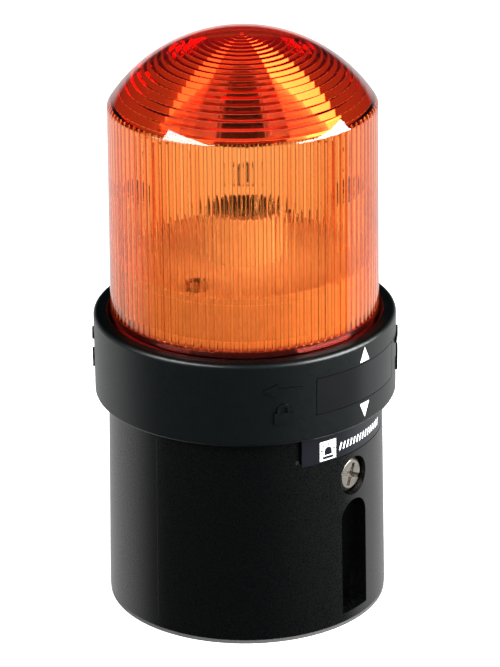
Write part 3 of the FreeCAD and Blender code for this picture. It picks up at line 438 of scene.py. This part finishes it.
def build_finishes():
    """One material for each material slot of the record."""
    return {
        "foot_rubber": rubber("foot_rubber", (0.055, 0.055, 0.054), (0.075, 0.075, 0.073), 0.85,
                              0.5 * MM),
        "black_plastic": spark_plastic("black_plastic", (0.0002, 0.0004, 0.0005),
                                       (0.0005, 0.0008, 0.0009), 0.30, level=0.6),
        "collar_plastic": dull_on_top(spark_plastic("collar_plastic", (0.0004, 0.0013, 0.0015),
                                                    (0.0012, 0.0028, 0.0032), 0.36,
                                                    depth=0.028 * MM)),
        "black_rubber": rubber("black_rubber", (0.003, 0.003, 0.003), (0.005, 0.005, 0.005), 0.95,
                               0.15 * MM),
        "plate_film": satin_film("plate_film", (0.0022, 0.0030, 0.0060),
                                 (0.0030, 0.0040, 0.0075), 0.36),
        "legend_film": satin_film("legend_film", (0.0020, 0.0027, 0.0032),
                                  (0.0026, 0.0034, 0.0039), 0.33),
        "white_ink": satin_film("white_ink", (0.74, 0.75, 0.74), (0.80, 0.81, 0.80), 0.5),
        "zinc_steel": plated_metal("zinc_steel", (0.56, 0.53, 0.47), (0.40, 0.37, 0.32), 0.3),
        "spring_steel": plated_metal("spring_steel", (0.50, 0.50, 0.51), (0.36, 0.36, 0.37), 0.3),
        "tungsten": plated_metal("tungsten", (0.34, 0.34, 0.36), (0.25, 0.25, 0.26), 0.4),
        "solder": plated_metal("solder", (0.62, 0.63, 0.66), (0.45, 0.46, 0.48), 0.45),
        "nickel": plated_metal("nickel", (0.74, 0.70, 0.64), (0.60, 0.56, 0.50), 0.18,
                               stretch=(1, 1, 6)),
        "brass": plated_metal("brass", (0.80, 0.58, 0.24), (0.62, 0.43, 0.16), 0.28),
        "carrier_plastic": moulded_plastic("carrier_plastic", (0.84, 0.84, 0.80),
                                           (0.90, 0.90, 0.86), 0.45),
        "white_plastic": moulded_plastic("white_plastic", (0.84, 0.84, 0.80),
                                         (0.90, 0.90, 0.86), 0.4),
        "lampholder_plastic": moulded_plastic("lampholder_plastic", (0.78, 0.78, 0.75),
                                              (0.84, 0.84, 0.81), 0.45),
        "terminal_plastic": moulded_plastic("terminal_plastic", (0.62, 0.58, 0.48),
                                            (0.70, 0.66, 0.56), 0.45),
        "brown_phenolic": moulded_plastic("brown_phenolic", (0.09, 0.034, 0.014),
                                          (0.13, 0.052, 0.022), 0.4),
        "black_glass": moulded_plastic("black_glass", (0.010, 0.010, 0.013), (0.018, 0.018, 0.022),
                                       0.12),
        "clear_glass": clear_glass(),
        "orange_lens": orange_lens(),
    }


def dress_nodes(finishes):
    """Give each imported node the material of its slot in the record."""
    slot_of = {part["node"]: part["material_slot"] for part in frame["record"]["subparts"]}
    for name, piece in nodes.items():
        piece.data.materials.clear()
        piece.data.materials.append(finishes[slot_of[name]])


# ---------------------------------------------------------------- meshes
SHARP_ANGLE = math.radians(30)


def add_piece(name, vertices, faces, finish, body):
    """A new visible piece that moves with a body; edges past the sharp angle stay crisp."""
    mesh = bpy.data.meshes.new(name)
    mesh.from_pydata([tuple(v) for v in vertices], [], faces)
    mesh.validate()
    mesh.shade_smooth()
    mesh.set_sharp_from_angle(angle=SHARP_ANGLE)
    mesh.materials.append(finish)
    piece = bpy.data.objects.new(name, mesh)
    bpy.context.scene.collection.objects.link(piece)
    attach(piece, body)
    return piece


class Turned:
    """A closed surface turned about Z; its rings may have different numbers of points."""

    def __init__(self):
        self.vertices = []
        self.faces = []
        self.rings = []

    def ring(self, radius, height, count):
        self.uneven_ring([(FULL_TURN * index / count, radius) for index in range(count)], height)

    def uneven_ring(self, points, height):
        """A ring through points given as (angle, radius)."""
        self.rings.append((len(self.vertices), len(points)))
        self.vertices.extend((radius * math.cos(angle), radius * math.sin(angle), height)
                             for angle, radius in points)

    def pole(self, height):
        self.rings.append((len(self.vertices), 1))
        self.vertices.append((0, 0, height))

    def bridge(self, low, high):
        """Join two rings; where one has more points, the extra ones share a face."""
        (low_start, low_count), (high_start, high_count) = low, high
        if low_count == 1 and high_count == 1:
            return
        steps = max(1, min(low_count, high_count))
        low_step, high_step = low_count // steps, high_count // steps
        if steps == 1:
            steps = max(low_count, high_count)
            low_step, high_step = low_count // steps, high_count // steps
            for index in range(steps):
                if low_count == 1:
                    self.faces.append((low_start, high_start + (index + 1) % steps,
                                       high_start + index))
                else:
                    self.faces.append((low_start + index, low_start + (index + 1) % steps,
                                       high_start))
            return
        for index in range(steps):
            bottom = [low_start + (index * low_step + k) % low_count for k in range(low_step + 1)]
            top = [high_start + (index * high_step + k) % high_count for k in range(high_step + 1)]
            self.faces.append(tuple(bottom + top[::-1]))

    def close(self):
        """Join every ring to the next, and the last to the first."""
        for low, high in zip(self.rings, self.rings[1:] + self.rings[:1]):
            self.bridge(low, high)


def curved_block(vertices, faces, rows, middle, inner, outer, columns, lean=0.0):
    """Add a closed block bent round Z. Each row is (height, first angle, last angle) in degrees.

    Its radii shrink upwards by the lean for each unit of height.
    """
    start = len(vertices)
    width = columns + 1
    for radius in (outer, inner):
        for height, first, last in rows:
            across = radius - lean * (height - rows[0][0])
            for column in range(width):
                angle = math.radians(middle + first + (last - first) * column / columns)
                vertices.append((across * math.cos(angle), across * math.sin(angle), height))
    count = len(rows)
    back = start + count * width

    def at(row, column, side):
        return (start if side == 0 else back) + row * width + column

    for row in range(count - 1):
        for column in range(columns):
            faces.append((at(row, column, 0), at(row, column + 1, 0),
                          at(row + 1, column + 1, 0), at(row + 1, column, 0)))
            faces.append((at(row, column, 1), at(row + 1, column, 1),
                          at(row + 1, column + 1, 1), at(row, column + 1, 1)))
        for column, order in ((0, (0, 1)), (columns, (1, 0))):
            first, second = order
            faces.append((at(row, column, first), at(row + 1, column, first),
                          at(row + 1, column, second), at(row, column, second)))
    for row, order in ((0, (1, 0)), (count - 1, (0, 1))):
        first, second = order
        for column in range(columns):
            faces.append((at(row, column, first), at(row, column + 1, first),
                          at(row, column + 1, second), at(row, column, second)))


# ---------------------------------------------------------------- lens
def build_lens(finish):
    """One closed turned shape: outer wall and dome, stepped inner face and inner ribs."""
    low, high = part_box("lens")
    skirt_radius = high.x
    skirt_wall = 2.2 * MM
    skirt_bore = skirt_radius - skirt_wall
    skirt_bore_top = low.z + 8.7 * MM
    skirt_edge = 0.2 * MM
    flange_top = low.z + 12.5 * MM
    flange_edge = 0.3 * MM
    foot_radius = skirt_radius - 1.7 * MM
    shoulder_radius = foot_radius - 0.45 * MM
    dome_radius = 39.0 * MM
    dome_centre = high.z - dome_radius
    bore_radius = 38.0 * MM
    bore_centre = high.z - 41.0 * MM
    root_radius = 31.2 * MM
    land_radius = 31.4 * MM
    land_bottom = low.z + 9.9 * MM
    rib_depth = 0.42 * MM
    rib_count = 100
    # one rib's outline: how far along the pitch, and how much of the rib's depth
    rib_outline = ((0, 1), (0.13, 0.97), (0.25, 0.85), (0.35, 0), (0.5, 0), (0.65, 0),
                   (0.75, 0.85), (0.87, 0.97))
    rib_bottom = low.z + 18.7 * MM
    rib_top = low.z + 70.7 * MM
    step_pitch = 1.5 * MM
    step_count = 20
    points_round = rib_count * 2

    def dome_height(across):
        return dome_centre + math.sqrt(dome_radius ** 2 - across ** 2)

    def bore_height(across):
        return bore_centre + math.sqrt(bore_radius ** 2 - across ** 2)

    shape = Turned()
    shape.ring(skirt_radius - skirt_edge, low.z, points_round)
    shape.ring(skirt_radius, low.z + skirt_edge, points_round)
    shape.ring(skirt_radius, flange_top - flange_edge, points_round)
    shape.ring(skirt_radius - flange_edge, flange_top, points_round)
    fillet = 0.5 * MM
    fillet_steps = 4
    for step in range(fillet_steps + 1):
        turn = math.radians(90 * step / fillet_steps)
        shape.ring(foot_radius + fillet * (1 - math.sin(turn)),
                   flange_top + fillet * (1 - math.cos(turn)), points_round)
    # the wall leans in a little, then a small round leads into the dome
    shoulder_round = 1.3 * MM
    wall_end = dome_height(shoulder_radius) - shoulder_round
    wall_steps = 8
    for step in range(1, wall_steps + 1):
        share = step / wall_steps
        shape.ring(foot_radius + (shoulder_radius - foot_radius) * share,
                   flange_top + fillet + (wall_end - flange_top - fillet) * share, points_round)
    inner_radius = dome_radius - shoulder_round
    round_start = math.degrees(math.acos((shoulder_radius - shoulder_round) / inner_radius))
    round_centre = dome_centre + inner_radius * math.sin(math.radians(round_start))
    round_steps = 5
    for step in range(1, round_steps + 1):
        turn = math.radians(round_start * step / round_steps)
        shape.ring(shoulder_radius - shoulder_round + shoulder_round * math.cos(turn),
                   round_centre + shoulder_round * math.sin(turn), points_round)
    dome_steps = 28
    for step in range(1, dome_steps):
        turn = math.radians(round_start + (90 - round_start) * step / dome_steps)
        shape.ring(dome_radius * math.cos(turn), dome_centre + dome_radius * math.sin(turn),
                   points_round)
    shape.pole(dome_centre + dome_radius)

    # a small nub hangs under the middle of the dome
    nub = 0.55 * MM
    ceiling = bore_height(step_pitch)
    shape.pole(ceiling - nub)
    for across, below in ((0.6, 0.7), (0.9, 0.1)):
        shape.ring(nub * across, ceiling - nub * below, points_round // 4)
    # the inner face of the dome is a flight of flat treads and upright risers
    edge = 0.06 * MM
    coarse_steps = 5
    for step in range(1, step_count + 1):
        across = step * step_pitch
        top = bore_height(across)
        count = points_round // 2 if step <= coarse_steps else points_round
        shape.ring(across - edge, top, count)
        shape.ring(across, top - edge, count)
        if step < step_count:
            shape.ring(across, bore_height(across + step_pitch), count)
    shape.ring(step_count * step_pitch, rib_top + 0.22 * MM, points_round)

    # the ribs stand inside the wall, between two plain rings
    ribbed = [(FULL_TURN * (rib + along) / rib_count, root_radius - rib_depth * share)
              for rib in range(rib_count) for along, share in rib_outline]
    rib_steps = 6
    shape.ring(root_radius, rib_top + 0.14 * MM, points_round)
    for step in range(rib_steps + 1):
        shape.uneven_ring(ribbed, rib_top + (rib_bottom - rib_top) * step / rib_steps)
    shape.ring(root_radius, rib_bottom - 0.12 * MM, points_round)
    shape.ring(land_radius, rib_bottom - 0.5 * MM, points_round)
    shape.ring(land_radius, land_bottom, points_round)
    shape.ring(skirt_bore, skirt_bore_top, points_round)
    shape.ring(skirt_bore, low.z + skirt_edge, points_round)
    shape.ring(skirt_bore + skirt_edge, low.z, points_round)
    shape.close()
    lens = add_piece("lens_clear", shape.vertices, shape.faces, finish, "lens_unit")
    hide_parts("lens")


def build_lens_lugs(finish):
    """The bayonet lugs inside the skirt."""
    low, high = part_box("lens")
    half_angle = 5.0
    bottom = low.z + 1.7 * MM
    top = low.z + 4.3 * MM
    inner = 31.2 * MM
    outer = 33.0 * MM
    first_lug = -30
    lug_count = 3
    vertices, faces = [], []
    for lug in range(lug_count):
        curved_block(vertices, faces,
                     [(bottom, -half_angle, half_angle), (top, -half_angle, half_angle)],
                     first_lug + 360 * lug // lug_count, inner, outer, columns=6)
    add_piece("lens_lugs", vertices, faces, finish, "lens_unit")


# ---------------------------------------------------------------- name plate print
FRONT = -90
PRINT_SUNK = 0.02 * MM
PRINT_PROUD = 0.03 * MM


def build_plate_print(white, dark):
    """A white tile with a plain beacon sign, and a row of slanted stripes beside it."""
    low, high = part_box("name_plate")
    surface = -low.y
    tile_middle = FRONT - 14.8
    tile_half = 4.1
    tile_bottom = low.z + 0.45 * MM
    tile_height = 5.1 * MM
    vertices, faces = [], []
    curved_block(vertices, faces, [(tile_bottom, -tile_half, tile_half),
                                   (tile_bottom + tile_height, -tile_half, tile_half)],
                 tile_middle, surface - PRINT_SUNK, surface + PRINT_PROUD, columns=8)
    stripe_count = 15
    stripe_pitch = 2.1
    stripe_width = 0.85
    stripe_slant = 1.0
    stripe_bottom = low.z + 1.9 * MM
    stripe_height = 1.9 * MM
    first_stripe = FRONT - 8.2
    for stripe in range(stripe_count):
        curved_block(vertices, faces,
                     [(stripe_bottom, -stripe_width, 0.0),
                      (stripe_bottom + stripe_height, stripe_slant - stripe_width, stripe_slant)],
                     first_stripe + stripe_pitch * stripe, surface - PRINT_SUNK,
                     surface + PRINT_PROUD, columns=2)
    add_piece("name_plate_print", vertices, faces, white, "base")
    build_sign(dark, surface, tile_middle, tile_bottom + tile_height * 0.47)


def build_sign(finish, surface, middle, centre):
    """A beacon on its foot, with three rays. Its marks are rows of (height, left, right)."""
    size = 1.15
    degrees = math.degrees(1 * MM / surface)
    inner = surface + 0.02 * MM
    outer = surface + 0.06 * MM
    vertices, faces = [], []

    def mark(rows):
        curved_block(vertices, faces,
                     [(centre + size * height * MM, size * first * degrees,
                       size * last * degrees) for height, first, last in rows],
                     middle, inner, outer, columns=4)

    foot_half = 1.35
    mark([(-1.75, -foot_half, foot_half), (-1.15, -foot_half, foot_half)])
    lamp_radius = 0.95
    lamp = [(-0.85, -lamp_radius, lamp_radius), (0.0, -lamp_radius, lamp_radius)]
    for turn in (25, 45, 62, 78):
        half = lamp_radius * math.cos(math.radians(turn))
        lamp.append((lamp_radius * math.sin(math.radians(turn)), -half, half))
    mark(lamp)
    ray_half = 0.12
    mark([(1.25, -ray_half, ray_half), (1.95, -ray_half, ray_half)])
    for way in (-1, 1):
        mark([(1.05, *sorted((way * 0.95, way * 1.2))), (1.6, *sorted((way * 1.35, way * 1.6)))])
        mark([(0.15, *sorted((way * 1.3, way * 1.9))), (0.4, *sorted((way * 1.3, way * 1.9)))])
    add_piece("name_plate_sign", vertices, faces, finish, "base")


# ---------------------------------------------------------------- base and contacts
def build_parting_lines(finish):
    """The fine seam that the mould leaves up each side of the base."""
    low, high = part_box("base_housing")
    draft = 0.016
    start = 2 * MM
    length = 52.6 * MM
    half_angle = 0.17
    sections = 4
    surface = high.x - draft * start
    rows = [(low.z + start + length * step / sections, -half_angle, half_angle)
            for step in range(sections + 1)]
    vertices, faces = [], []
    for middle in (0, 180):
        curved_block(vertices, faces, rows, middle, surface - 0.03 * MM, surface + 0.014 * MM,
                     columns=2, lean=draft)
    add_piece("base_parting_lines", vertices, faces, finish, "base")


def build_contact_spring():
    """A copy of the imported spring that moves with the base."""
    packed = nodes["contact_spring"]
    spring = bpy.data.objects.new("contact_spring_coils", packed.data.copy())
    spring.matrix_world = packed.matrix_world
    bpy.context.scene.collection.objects.link(spring)
    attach(spring, "base")
    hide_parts("contact_spring")
    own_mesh(spring)


# ---------------------------------------------------------------- scene
build_camera()
build_world()
for panel, (around, above, brightness) in PANELS.items():
    build_panel(panel, around, above, brightness)
build_floor()
finishes = build_finishes()
dress_nodes(finishes)
build_lens(finishes["orange_lens"])
build_lens_lugs(finishes["orange_lens"])
build_plate_print(finishes["white_ink"], finishes["plate_film"])
build_parting_lines(finishes["black_rubber"])
build_contact_spring()

scene = bpy.context.scene
scene.view_settings.view_transform = "Standard"
scene.cycles.max_bounces = 20
scene.cycles.transmission_bounces = 20
scene.cycles.glossy_bounces = 8
